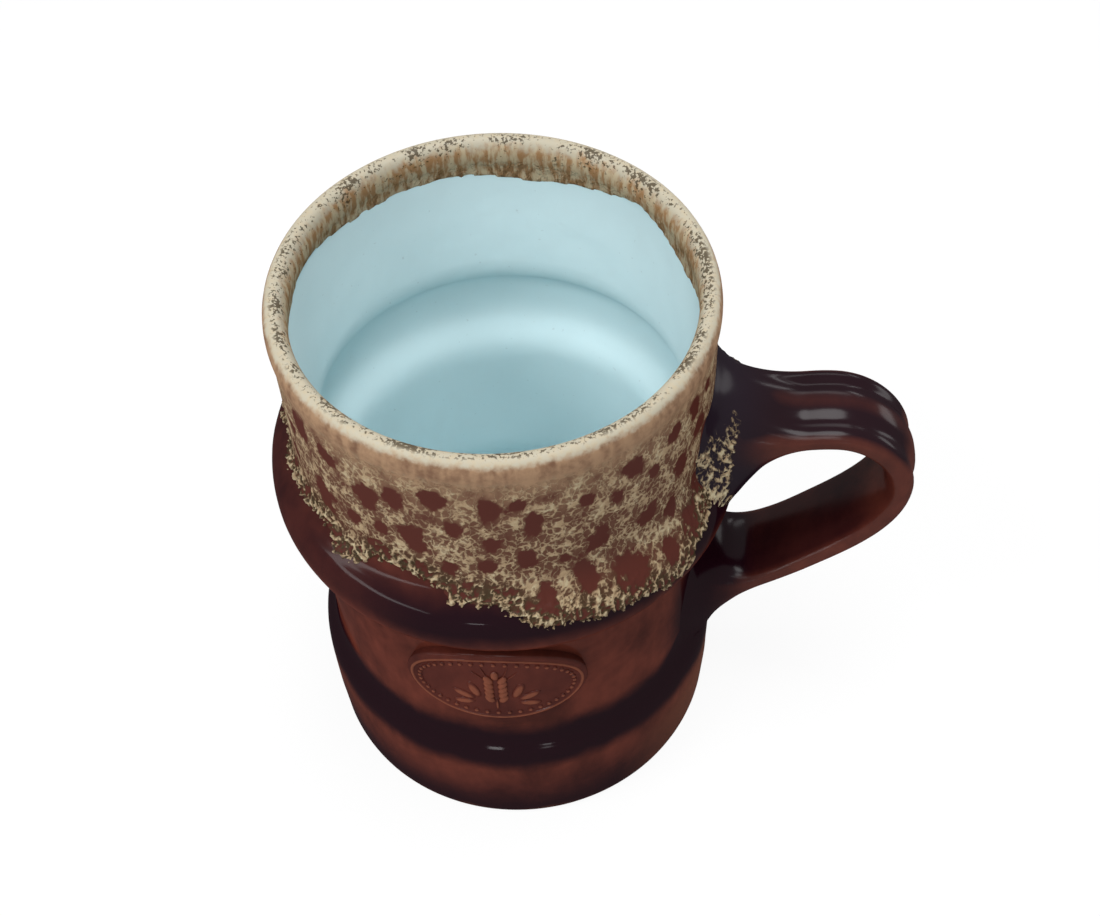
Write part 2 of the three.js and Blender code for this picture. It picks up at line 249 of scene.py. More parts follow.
class GlazeColours(bpy.types.PropertyGroup):
    """Colours of the glazes."""

    brown: colour("Brown glaze", (0.113, 0.0268, 0.0167), "Brown glaze on upright walls")
    dusk: colour("Dark brown glaze", (0.044, 0.0100, 0.0070), "Brown glaze where it is thick")
    # Dark pooled glaze, also used for painted shade and a painted dark reflection of the sky
    pooled_and_shade: colour("Pooled glaze", (0.0095, 0.0016, 0.0040), "Thick glaze on ledges and in coves")
    amber: colour("Thin glaze", (0.24, 0.085, 0.045), "Glaze that breaks over an edge")
    liner: colour("White liner", (0.645, 0.805, 0.835), "Glaze inside the mug")
    cream: colour("Cream froth", (0.45, 0.40, 0.262), "Froth glaze where it is thick")
    lace: colour("Lace froth", (0.310, 0.222, 0.130), "Froth glaze where it is a thin lace")
    lip: colour("Lip froth", (0.385, 0.352, 0.272), "Froth glaze on the lip")
    bead: colour("Lip bead", (0.43, 0.342, 0.220), "Froth glaze that thins over the lip")
    streak: colour("Mouth streaks", (0.29, 0.158, 0.072), "Froth glaze that runs into the mouth")
    tan: colour("Tan froth", (0.30, 0.187, 0.110), "Froth glaze where it is thin")
    ground: colour("Froth ground", (0.095, 0.041, 0.025), "Brown between the threads of the froth")
    # Painted reflection: a bluish sheen of the sky on the glossy upper root, painted into the colour
    sheen: colour("Root sheen", (0.020, 0.019, 0.028), "Thick glaze at the roots of the handle")
    window: colour("Window", (0.068, 0.0170, 0.0118), "Brown glaze that shows through the froth")
    # Real dark specks and the painted shade in the gaps between the froth's fringe strands
    speck_and_shade: colour("Speck", (0.040, 0.026, 0.012), "Dark specks and gaps in the froth")


class StageSettings(bpy.types.PropertyGroup):
    """Camera, floor and sky."""

    camera_place: bpy.props.FloatVectorProperty(
        name="Camera", description="Where the camera stands", size=3, unit="LENGTH",
        default=(0.029227, -0.19556, 0.343502),
    )
    camera_turn: bpy.props.FloatVectorProperty(
        name="Camera turn", description="How the camera is turned", size=3, subtype="EULER",
        default=(math.radians(36.87), math.radians(-1.11), math.radians(1.63)),
    )
    focal: number("Focal length", 1500, "In pixels of the photograph")
    photo_width: number("Photograph width", 1100, "In pixels")
    axis_column: number("Axis column", 640, "Pixel column that the lens points at")
    floor: colour("Floor", (0.86, 0.86, 0.86), "Plain pale floor")
    sky: number("Sky", 0.22, "Light from all round")


def sizes():
    return bpy.context.scene.mug_sizes


def colours():
    return bpy.context.scene.mug_colours


def levels():
    """Heights at which the forms of the wall meet."""
    s = sizes()
    waist_foot = s.base_face + s.base_shoulder
    waist_head = waist_foot + s.waist_length
    band = waist_head + s.band_underside
    return Levels(waist_foot, waist_head, band, band + s.band_shoulder)


class Outline:
    """A turned profile, drawn as lines and curves in radius and height."""

    def __init__(self, radius, height):
        self.points = [Vector((radius, height, 0))]

    def line(self, radius, height, steps=1):
        start, end = self.points[-1], Vector((radius, height, 0))
        self.points += [start.lerp(end, (i + 1) / steps) for i in range(steps)]

    def curve(self, first, second, end, steps=14):
        knots = [Vector((*p, 0)) for p in (first, second, end)]
        made = geometry.interpolate_bezier(self.points[-1], *knots, steps)
        self.points += made[1:]

    def sweep(self, shares, radius, height):
        start = self.points[-1]
        at = [(start.x + (radius - start.x) * a, start.y + (height - start.y) * b) for a, b in shares]
        self.curve(*at[:3])
        self.curve(*at[3:], (radius, height))


def outer_wall(path):
    """Outside of the wall, from the foot to the lip."""
    s, at = sizes(), levels()
    foot, pull = s.base - DRAFT, FOOT_EDGE * (1 - QUARTER)
    path.line(foot - FOOT_EDGE, 0, 6)
    path.curve((foot - pull, 0), (foot, pull), (foot, FOOT_EDGE), 8)
    path.line(s.base, s.base_face / 2, 4)
    path.line(s.base, s.base_face, 4)
    path.sweep(LEDGE_SWEEP, s.waist, at.waist_foot)
    path.line(s.waist, at.waist_head, 12)
    path.sweep(TUCKED_SWEEP, s.band, at.band)
    shoulder_and_collar(path)


def shoulder_and_collar(path, steps=14):
    """Outside of the clay from the band up to the lip."""
    s = sizes()
    clay = s.collar - s.coat
    path.sweep(SOFT_SWEEP, clay + DRAFT, levels().collar_foot)
    path.line(clay, s.height - s.coat - s.lip_round, steps)


def crown_radius():
    """Radius of the lip's highest ring."""
    s = sizes()
    return s.collar - s.coat - s.lip_edge / 2


def lip(path, steps=10):
    """The rounded lip, from the collar into the mouth."""
    s, crown = sizes(), crown_radius()
    clay, top, half = s.collar - s.coat, s.height - s.coat, s.lip_edge / 2
    foot = top - s.lip_round
    pull = foot + QUARTER * s.lip_round
    path.curve((clay, pull), (crown + QUARTER * half, top), (crown, top), steps)
    path.curve((crown - QUARTER * half, top), (clay - 2 * half, pull), (clay - 2 * half, foot), steps)


def mouth_radius(height):
    """Radius of the clay inside the collar, which widens towards the lip."""
    s = sizes()
    foot = levels().collar_foot
    share = (height - foot) / (s.height - s.coat - s.lip_round - foot)
    return s.collar - s.coat - s.lip_clay + (s.lip_clay - s.lip_edge) * share


def inner_wall(path):
    """Inside of the clay, from the lip down to the middle of the floor."""
    s, at = sizes(), levels()
    waist, base, floor = s.waist - WAIST_CLAY, s.base - BASE_CLAY, FLOOR_CLAY
    path.line(s.collar - s.coat - s.lip_clay, at.collar_foot, 8)
    path.sweep(TUCKED_SWEEP, s.band - BAND_CLAY, at.band)
    path.sweep(SOFT_SWEEP, waist, at.waist_head - s.band_underside / 3)
    path.line(waist, at.waist_foot, 6)
    path.sweep(SOFT_SWEEP, base, s.base_face)
    path.line(base, floor + FLOOR_ROUND)
    pull = (1 - QUARTER) * FLOOR_ROUND
    path.curve((base, floor + pull), (base - pull, floor), (base - FLOOR_ROUND, floor))
    path.line(0, floor, 8)


def run_along(points):
    """Places of a profile's points, and how far along it each lies."""
    line = np.array([(p.x, p.y) for p in points])
    run = np.concatenate([[0], np.cumsum(np.hypot(*np.diff(line, axis=0).T))])
    return line, run


def offset(points, distances):
    """Each profile point moved to the right of its direction of travel, which is the open-air side."""
    moved = []
    for i, (point, distance) in enumerate(zip(points, distances)):
        along = (points[min(i + 1, len(points) - 1)] - points[max(i - 1, 0)]).normalized()
        place = point + Vector((along.y, -along.x, 0)) * distance
        if point.x < 1e-6:
            place.x = 0
        moved.append(place)
    return moved


def wall_radius():
    """Height and radius of the wall's outside, for pieces that sit on it."""
    path = Outline(0, 0)
    outer_wall(path)
    up = [p for p in path.points if p.x > 0.9 * sizes().waist]
    return [p.y for p in up], [p.x for p in up]


def turn(points, steps, closed=False, skin_points=0):
    """A bmesh of a profile spun round the mug's axis: an eighth of a turn, then doubled three times."""
    bm = bmesh.new()
    skin = bm.verts.layers.float.new("skin")
    verts = [bm.verts.new((p.x, 0, p.y)) for p in points]
    pairs = list(zip(verts, verts[1:])) + ([(verts[-1], verts[0])] if closed else [])
    edges = [bm.edges.new(pair) for pair in pairs]
    for vert in verts[:skin_points]:
        vert[skin] = 1
    bmesh.ops.spin(
        bm, geom=verts + edges, axis=(0, 0, 1), cent=(0, 0, 0), angle=FULL_TURN / 8, steps=steps // 8
    )
    for share in (8, 4, 2):
        made = bmesh.ops.duplicate(bm, geom=bm.verts[:] + bm.edges[:] + bm.faces[:])["geom"]
        copies = [v for v in made if isinstance(v, bmesh.types.BMVert)]
        step = Matrix.Rotation(FULL_TURN / share, 3, "Z")
        bmesh.ops.rotate(bm, cent=(0, 0, 0), matrix=step, verts=copies)
    bmesh.ops.remove_doubles(bm, verts=bm.verts, dist=1e-6)
    bmesh.ops.recalc_face_normals(bm, faces=bm.faces)
    return bm


def close_ends(bm):
    """Fills the open ends of a shell and turns its faces outwards."""
    bmesh.ops.holes_fill(bm, edges=[e for e in bm.edges if e.is_boundary])
    bmesh.ops.recalc_face_normals(bm, faces=bm.faces)


def add_object(name, data):
    """A new object in the scene."""
    made = bpy.data.objects.new(name, data)
    bpy.context.scene.collection.objects.link(made)
    return made


def mesh_object(bm, name, material):
    """A new object with the faces of a bmesh, which is used up."""
    mesh = bpy.data.meshes.new(name)
    bm.to_mesh(mesh)
    bm.free()
    mesh.materials.append(material)
    return add_object(name, mesh)


def finish_piece(bm, name, material, node):
    """Turns a bmesh into a smooth piece, which may stand for a CAD node."""
    piece = mesh_object(bm, name, material)
    piece.data.shade_smooth()
    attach(piece, BODY)
    if node:
        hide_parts(node)
    return piece


def smooth_step(low, high, value):
    """A soft step from 0, at low, to 1, at high."""
    t = np.clip((value - low) / (high - low), 0, 1)
    return t * t * (3 - 2 * t)


class Shade:
    """One number in a material, with the operators that shader maths needs."""

    def __init__(self, recipe, socket):
        self.recipe = recipe
        self.socket = socket

    def math(self, operation, *others):
        values = dict(enumerate((self, *others)))
        return self.recipe.add("ShaderNodeMath", {"operation": operation}, values)

    def __add__(self, other):
        return self.math("ADD", other)

    def __sub__(self, other):
        return self.math("SUBTRACT", other)

    def __rsub__(self, other):
        return (self * -1).math("ADD", other)

    def __mul__(self, other):
        return self.math("MULTIPLY", other)

    def __truediv__(self, other):
        return self.math("DIVIDE", other)

    __radd__, __rmul__ = __add__, __mul__

    def between(self, low, high, soft):
        """1 between two levels, with soft ends."""
        half = soft / 2
        return self.smooth(low - half, low + half) * self.smooth(high - half, high + half, 1.0, 0.0)

    def clamp(self):
        return self.recipe.add("ShaderNodeClamp", {}, {"Value": self})

    def smooth(self, low, high, start=0.0, end=1.0):
        """A soft step from start, at low, to end, at high."""
        return self.recipe.add(
            "ShaderNodeMapRange", {"interpolation_type": "SMOOTHSTEP"},
            {"Value": self, "From Min": low, "From Max": high, "To Min": start, "To Max": end},
        )


class Recipe:
    """The nodes of a material or of the world."""

    def __init__(self, name, kind="materials"):
        self.owner = getattr(bpy.data, kind).new(name)
        self.owner.use_nodes = True
        self.tree = self.owner.node_tree
        self.tree.nodes.clear()

    def add(self, kind, settings, inputs, output=0):
        """A node of that type with its settings and the values or links of its sockets."""
        node = self.tree.nodes.new(kind)
        for key, value in settings.items():
            setattr(node, key, value)
        for key, value in inputs.items():
            self.put(node.inputs[key], value)
        return Shade(self, node.outputs[output]) if node.outputs else None

    def put(self, socket, value):
        """Links a socket or sets its value; a colour gets its alpha."""
        if isinstance(value, Shade):
            self.tree.links.new(value.socket, socket)
        elif hasattr(socket.default_value, "__len__") and len(socket.default_value) == 4:
            socket.default_value = (*value, 1)
        else:
            socket.default_value = value

    def place(self):
        return self.add("ShaderNodeTexCoord", {}, {}, "Object")

    def stretched(self, scale):
        return self.add("ShaderNodeMapping", {}, {"Vector": self.place(), "Scale": scale})

    def axis(self, vector, name):
        return self.add("ShaderNodeSeparateXYZ", {}, {"Vector": vector}, name)

    def attribute(self, name):
        return self.add("ShaderNodeAttribute", {"attribute_name": name}, {}, "Fac")

    def noise(self, size, detail=2.0, vector=None, roughness=0.5, distortion=0.0):
        """Cloudy noise whose blotches are about that many metres across."""
        return self.add(
            "ShaderNodeTexNoise", {},
            {
                "Vector": vector or self.place(), "Scale": 1 / size, "Detail": detail,
                "Roughness": roughness, "Distortion": distortion,
            },
        )

    def blend(self, factor, first, second):
        return self.add(
            "ShaderNodeMix", {"data_type": "RGBA"}, {"Factor": factor, 6: first, 7: second}, 2
        )

    def bump(self, height, distance, strength=1.0, normal=None):
        inputs = {"Height": height, "Distance": distance, "Strength": strength}
        if normal:
            inputs["Normal"] = normal
        return self.add("ShaderNodeBump", {}, inputs)

    def glaze(self, colour_in, roughness, normal, gloss, polish=0.08):
        """Ends the recipe in a matt colour under a gloss that mirrors about a quarter of its weight."""
        shader = self.add(
            "ShaderNodeBsdfPrincipled", {},
            {
                "Base Color": colour_in, "Roughness": roughness, "Normal": normal,
                "Specular IOR Level": 0.0,
                "Coat Weight": gloss, "Coat Roughness": polish, "Coat IOR": GLOSS_INDEX,
            },
        )
        self.add("ShaderNodeOutputMaterial", {}, {"Surface": shader})
        return self.owner


def brown_ground(recipe, pool, thin):
    """Brown glaze: near black where it pools and where shade or a dark reflection is painted, red brown
    on walls and amber where it is thin or where light is painted.
    """
    c = colours()
    cloud = recipe.noise(0.026, 4.0, None, 0.6, 0.5)
    runs = recipe.noise(0.007, 4.0, recipe.stretched((1, 1, 0.22)))
    fine = recipe.noise(0.0026, 4.0, recipe.stretched((1, 1, 0.5)))
    shade = ((cloud - 0.5) * 2.6 + (runs - 0.5) * 1.3 + (fine - 0.5) * 0.6 + 0.5).clamp()
    wall = recipe.blend(shade, c.brown, c.dusk)
    ground = recipe.blend(pool.clamp(), wall, c.pooled_and_shade)
    return recipe.blend(thin, ground, c.amber)


def patches(recipe, size):
    """Roughness that changes a little from patch to patch."""
    return recipe.noise(size, 2.0) * 0.2 + 0.4


def glaze_skin(recipe):
    """Slow waves and small pits of a fired glaze."""
    waves = recipe.noise(0.012, 2.0)
    pits = recipe.noise(0.0016, 2.0)
    return recipe.bump(waves + pits * 0.03, 0.0006, 0.6)


def upward(recipe, low, high):
    """1 on faces that look up, where the glaze runs thick and a dark reflection of the sky is painted.
    """
    facing = recipe.add("ShaderNodeNewGeometry", {}, {}, "Normal")
    return recipe.axis(facing, "Z").smooth(low, high)


def brown_glaze():
    """Glossy brown glaze of the turned wall: pooled glaze and a painted dark reflection in the cove and
    on the shoulder, painted shade round the foot and behind the lower root, and painted light on the
    handle side of the base.
    """
    recipe = Recipe("brown_glaze")
    at = levels()
    towards_handle = recipe.axis(recipe.place(), "X")
    drift = (recipe.noise(0.014, 3.0) - 0.5) * 0.005 + (recipe.noise(0.003, 3.0) - 0.5) * 0.0012
    height = recipe.axis(recipe.place(), "Z") + drift
    # Cove and shoulder: pooled glaze, with a painted dark reflection of the sky on these upward-facing
    # ledges
    low, high, soft = COVE_POOL_AND_REFLECTION
    cove = height.between(sizes().base_face + low, at.waist_foot + high, soft)
    low, high, soft = SHOULDER_POOL_AND_REFLECTION
    shoulder = height.between(at.band + low, at.collar_foot + high, soft)
    # Painted light: the shoulder is painted less dark on the side away from the handle
    shoulder = shoulder * towards_handle.smooth(*FAR_SIDE, 0.58, 1.0)
    # Painted light on the handle side of the base: the foot is less dark there and amber is painted on
    side = towards_handle.smooth(*HANDLE_SIDE)
    # Painted shade: darker towards the foot, near the floor
    foot = height.smooth(*FOOT_SHADE, 0.95, 0.0) * (1 - side * 0.7)
    # Painted shade: a dark oval on the wall behind the lower root of the strap
    across = recipe.axis(recipe.place(), "Y") / ROOT_POOL_SHADE_WIDE
    along = (height - ROOT_POOL_SHADE_LEVEL) / ROOT_POOL_SHADE_TALL
    root = (across * across + along * along).smooth(0.7, 2.2, 1.0, 0.0)
    root = root * towards_handle.smooth(0, 0.01)
    # Amber at the very foot edge where the glaze thins, and painted light as amber on the handle side of
    # the base
    rim = height.smooth(*FOOT_RIM, 0.2, 0.0) + side * height.smooth(*LIT_FOOT, 0.3, 0.0)
    ground = brown_ground(recipe, cove + shoulder + foot + root, rim)
    return recipe.glaze(ground, patches(recipe, 8 * MM), glaze_skin(recipe), 0.024)


def handle_glaze():
    """Brown glaze of the strap: dark in its grooves and on faces that look up (pooled glaze and a
    painted dark reflection), with painted shade and a painted bluish sheen at its roots, red brown on
    ribs and edges, froth at its root.
    """
    recipe = Recipe("handle_glaze")
    ridge = recipe.attribute("ridge")
    streak = recipe.noise(0.004, 3.0)
    thin = (ridge + (streak - 0.5) * 0.5).smooth(0.45, 1.0)
    # Painted shade near the strap's roots, and the strap's back
    root, outside = recipe.attribute("pool"), recipe.attribute("outside")
    # Pooled glaze and a painted dark reflection of the sky on the faces that look up, most on the
    # strap's back
    pool = root + upward(recipe, 0.30, 0.62) * (1 - ridge) * (outside * 0.4 + 0.5) + 0.25
    band = levels().band
    # Painted reflection: the bluish sheen is painted onto the upper root
    sheen = root * recipe.axis(recipe.place(), "Z").smooth(band - 4 * MM, band + 8 * MM) * 0.5
    ground = recipe.blend(sheen, brown_ground(recipe, pool, thin * 0.06), colours().sheen)
    lace, mask = froth_lace(recipe, recipe.attribute("froth"))
    colour_in = recipe.blend(mask, ground, lace)
    skin = recipe.bump(mask, 0.0004, 0.8, glaze_skin(recipe))
    return recipe.glaze(colour_in, patches(recipe, 8 * MM), skin, 0.040 - root * 0.021, 0.19)


def plaque_glaze():
    """Brown glaze of the plaque, which thins to amber on the raised work."""
    recipe = Recipe("plaque_glaze")
    raised = recipe.attribute("ridge")
    streak = recipe.noise(0.002, 3.0)
    thin = (raised + (streak - 0.5) * 0.4).smooth(0.3, 1.0)
    ground = brown_ground(recipe, (1 - thin) * 0.30, thin * 0.42)
    return recipe.glaze(ground, patches(recipe, 6 * MM), glaze_skin(recipe), 0.024)


def white_glaze():
    """Pale glaze inside, with faint grey clouds and a few specks."""
    recipe = Recipe("white_liner")
    c = colours()
    cloud = recipe.noise(0.02, 4.0)
    specks = recipe.noise(0.0011, 1.0).smooth(0.74, 0.80)
    ground = recipe.blend((cloud - 0.35) * 0.8, c.liner, [v * 0.90 for v in c.liner])
    ground = recipe.blend(specks * 0.12, ground, c.speck_and_shade)
    return recipe.glaze(ground, cloud * 0.1 + 0.4, glaze_skin(recipe), 0.05)


def froth_lace(recipe, density):
    """Colour and cover of the froth glaze for a density from 0, bare, to 1, thick."""
    c = colours()
    wander = recipe.add(
        "ShaderNodeTexNoise", {},
        {"Vector": recipe.place(), "Scale": 1 / 0.0022, "Detail": 3.0}, "Color",
    )
    bent = recipe.add(
        "ShaderNodeVectorMath", {"operation": "MULTIPLY_ADD"},
        {0: wander, 1: (0.0030, 0.0030, 0.0030), 2: recipe.stretched((1, 1, 0.7))},
    )
    cells = recipe.add(
        "ShaderNodeTexVoronoi", {"feature": "DISTANCE_TO_EDGE"},
        {"Vector": bent, "Scale": 1 / 0.0015}, "Distance",
    )
    grain = recipe.noise(0.0008, 3.0)
    clots = recipe.noise(0.0020, 4.0, bent, 0.65)
    web = (cells - (clots - 0.45) * 0.5).smooth(0.0, 0.17, 1.0, 0.0)
    patchy = density * 1.1 + web * 0.34 + (clots - 0.5) * 0.55 + (grain - 0.5) * 0.5
    cover = patchy.smooth(0.36, 0.86) * density.smooth(0.0, 0.15)
    thick = (density + (grain - 0.5) * 0.9).smooth(0.35, 0.95)
    lace = recipe.blend(thick, c.lace, c.cream)
    return lace, cover


def froth_glaze():
    """Cream froth over brown: thick on the lip, tan under it, then lace with windows, then a fringe."""
    recipe = Recipe("cream_froth")
    s, c, crown = sizes(), colours(), crown_radius()
    place = recipe.place()
    height = recipe.axis(place, "Z")
    flat = recipe.add("ShaderNodeVectorMath", {"operation": "MULTIPLY"}, {0: place, 1: (1, 1, 0)})
    radius = recipe.add("ShaderNodeVectorMath", {"operation": "LENGTH"}, {0: flat}, "Value")
    inside = radius.smooth(crown - 1.2 * MM, crown - 0.2 * MM, 1.0, 0.0)

    streak = recipe.noise(0.0022, 4.0, recipe.stretched((1, 1, 0.25)))
    blotch = recipe.noise(0.006, 2.0)
    grain = recipe.noise(0.0011, 3.0)
    depth = s.height - height + (streak - 0.5) * 0.004 + (blotch - 0.5) * 0.002 + (grain - 0.5) * 0.003
    inner_edge = radius.smooth(crown - 0.2 * MM, crown + 1.2 * MM, 1.0, 0.0)
    inner_edge = inner_edge * depth.smooth(*SPECK_ZONE, 1.0, 0.0)

    density, fringe = recipe.attribute("froth"), recipe.attribute("fringe")
    lace, cover = froth_lace(recipe, density)
    bare = recipe.blend(density.smooth(0.02, 0.3), c.window, c.ground)
    # Painted shade in the gaps between the raised strands of the fringe
    bare = recipe.blend(fringe * (1 - cover) * density.smooth(0.0, 0.12), bare, c.speck_and_shade)
    haze = depth.smooth(*HAZE_ZONE, 0.32, 0.0) * density.smooth(0.05, 0.35)
    ground = recipe.blend(cover, recipe.blend(haze, bare, c.tan), lace)
    threads = (streak + (grain - 0.5) * 0.5).smooth(0.3, 0.85) * 0.75
    tan_zone = depth.smooth(*TAN_ZONE, 1.0, 0.0)
    outside = recipe.blend(tan_zone, ground, recipe.blend(threads, c.tan, c.ground))
    lip_depth = s.height - height + (blotch - 0.5) * 0.0016 + (grain - 0.5) * 0.0014
    lip_colour = recipe.blend(grain.smooth(0.36, 0.70) * 0.45, c.lip, c.bead)
    outside = recipe.blend(lip_depth.smooth(*LIP_ZONE, 1.0, 0.0), outside, lip_colour)

    runs = recipe.noise(0.0014, 3.0, recipe.stretched((1, 1, 0.3)), 0.6)
    run_colour = recipe.blend(runs.smooth(0.38, 0.60), c.bead, c.streak)
    mouth = recipe.blend(depth.smooth(*RUN_ZONE), c.lip, run_colour)
    mottle = (runs + (grain - 0.5) * 0.6).smooth(0.46, 0.66)
    mouth = recipe.blend(depth.smooth(*MOTTLE_ZONE) * mottle * 0.5, mouth, c.speck_and_shade)
    colour_in = recipe.blend(inside, outside, mouth)
    ring = radius.between(crown - 1.6 * MM, crown + 0.7 * MM, 1 * MM)
    dust = recipe.noise(0.0007, 2.0, None, 0.6)
    specks = (dust + (blotch - 0.5) * 0.6 + ring * 0.09).smooth(0.58, 0.68)
    colour_in = recipe.blend(specks * inner_edge * 0.85, colour_in, c.speck_and_shade)

    skin = recipe.bump(cover, 0.0003, 0.7, glaze_skin(recipe))
    return recipe.glaze(colour_in, patches(recipe, 3 * MM), skin, 0.03, 0.35)


def azimuth(x, y):
    """Angle in degrees from the plaque towards the handle."""
    return np.degrees(np.arctan2(x, -y))


def away_from(angle, centre):
    """Angles in degrees as seen from a centre, from -180 to 180."""
    return (angle - centre + 540) % 360 - 180


def lobes(angle, shares):
    """Sum of soft bumps at angles in degrees, each given by its angle, half width and height."""
    total = np.zeros_like(angle)
    for centre, half, share in shares:
        away = away_from(angle, centre) / half
        total += share * np.exp(-away * away)
    return total


def froth_edge(angle):
    """Height of the froth's lower edge at angles in degrees, without its ragged fringe."""
    turned = np.radians(angle)
    waves = np.sin(13 * turned + 0.6) + 0.7 * np.sin(21 * turned)
    hang = FROTH_HANG * lobes(angle, FROTH_LOBES)
    return levels().band + FROTH_RISE - hang + FROTH_RIPPLE * waves


def mouth_edge(angle):
    """Height of the froth's edge inside the mouth at angles in degrees."""
    return sizes().height - MOUTH_DROP - lobes(angle, MOUTH_LOBES)


def cloud_at(places, size, seed):
    """Smooth noise from -1 to 1 at places in metres, with blotches of about that size."""
    shift = Vector((seed * 7.3, seed * 3.1, seed * 5.7))
    return np.array([noise.noise(Vector(p) / size + shift) for p in places])


def strands_at(places, size, warp):
    """1 along the walls between froth bubbles of about that size, falling to 0 in their middles."""
    bent = places / size + 0.45 * warp[:, None] * np.array((1, -1, 0.6))
    bent[:, 2] *= 0.42
    found = np.empty(len(places))
    for i, place in enumerate(bent):
        near = noise.voronoi(place)[0]
        found[i] = near[1] - near[0]
    return 1 - smooth_step(0.02, 0.21, found)


def place_windows(radius):
    """Places, half widths and stretches of round windows that keep apart on the unrolled collar."""
    rng = random.Random(WINDOW_SEED)
    low, high = levels().band + WINDOW_FOOT, sizes().height - WINDOW_HEAD
    windows = []
    for _ in range(WINDOW_TRIES):
        spot = (rng.uniform(-math.pi, math.pi) * radius, rng.uniform(low, high))
        half, tall = rng.triangular(*WINDOW_RADII) * MM, rng.uniform(*WINDOW_STRETCH)
        gaps = []
        for (x, z), other, _ in windows:
            across = math.remainder(spot[0] - x, FULL_TURN * radius)
            gaps.append(math.hypot(across, (spot[1] - z) / tall) - half - other)
        if min(gaps, default=1) > WINDOW_GAP:
            windows.append((spot, half, tall))
    return windows


def window_field(angle, height, radius, wobble):
    """How deep each place lies in one of the round windows of the froth, from 0 to 1."""
    depth = np.zeros_like(angle)
    for (x, z), half, tall in place_windows(radius):
        across = np.radians(away_from(angle, math.degrees(x / radius))) * radius
        away = np.hypot(across, (height - z) / tall) / half + wobble
        depth = np.maximum(depth, 1 - smooth_step(0.55, 1.3, away))
    return depth


def store(piece, name, values):
    """A number for each vertex that the materials read."""
    layer = piece.data.attributes.new(name, "FLOAT", "POINT")
    layer.data.foreach_set("value", np.asarray(values, np.float32))


def read(piece, name):
    """Places, called co, or normals of a piece's vertices."""
    found = np.empty(len(piece.data.vertices) * 3)
    piece.data.vertices.foreach_get(name, found)
    return found.reshape(-1, 3)


def read_layer(piece, name):
    """The numbers that a layer of the mesh holds for its vertices."""
    found = np.empty(len(piece.data.vertices))
    piece.data.attributes[name].data.foreach_get("value", found)
    return found


def write_places(piece, places):
    piece.data.vertices.foreach_set("co", places.astype(np.float32).ravel())
    piece.data.update()


def ripple(piece, depth):
    """Slow waves of a hand-dipped glaze, which only sink into the surface."""
    places, normals = read(piece, "co"), read(piece, "normal")
    waves = 0.5 + 0.38 * cloud_at(places, 13 * MM, 8) + 0.12 * cloud_at(places, 5 * MM, 9)
    standing = smooth_step(0, 2 * MM, places[:, 2])
    write_places(piece, places - normals * (depth * waves * standing)[:, None])


class MUG_OT_wall(bpy.types.Operator):
    """Turn the clay wall under its brown glaze"""

    bl_idname = "mug.wall"
    bl_label = "Glazed wall"

    def execute(self, context):
        path = Outline(0, 0)
        outer_wall(path)
        lip(path)
        inner_wall(path)
        bm = turn(path.points, WALL_STEPS)
        piece = finish_piece(bm, "glazed_wall", brown_glaze(), "mug_body")
        ripple(piece, WAVE_DEPTH)
        return {"FINISHED"}


class MUG_OT_liner(bpy.types.Operator):
    """Line the inside with the white glaze"""

    bl_idname = "mug.liner"
    bl_label = "White liner"

    TOP_DEPTH = 6 * MM
    THIN_DEPTH, FULL_DEPTH = 6.5 * MM, 34 * MM
    UNDERSIDE, THINNEST = 0.02 * MM, 0.06 * MM

    def execute(self, context):
        s = sizes()
        top, foot = s.height - self.TOP_DEPTH, levels().collar_foot + 1 * MM
        path = Outline(mouth_radius(top), top)
        path.line(mouth_radius(foot), foot, 24)
        inner_wall(path)
        under = offset(path.points, [self.UNDERSIDE] * len(path.points))[::-1]
        depths = [s.height - p.y for p in path.points]
        shares = [float(smooth_step(self.THIN_DEPTH, self.FULL_DEPTH, depth)) for depth in depths]
        over = offset(path.points, [self.THINNEST + s.liner * share for share in shares])
        bm = turn(under + over, LINER_STEPS)
        close_ends(bm)
        finish_piece(bm, "pale_liner", white_glaze(), "liner_glaze")
        return {"FINISHED"}


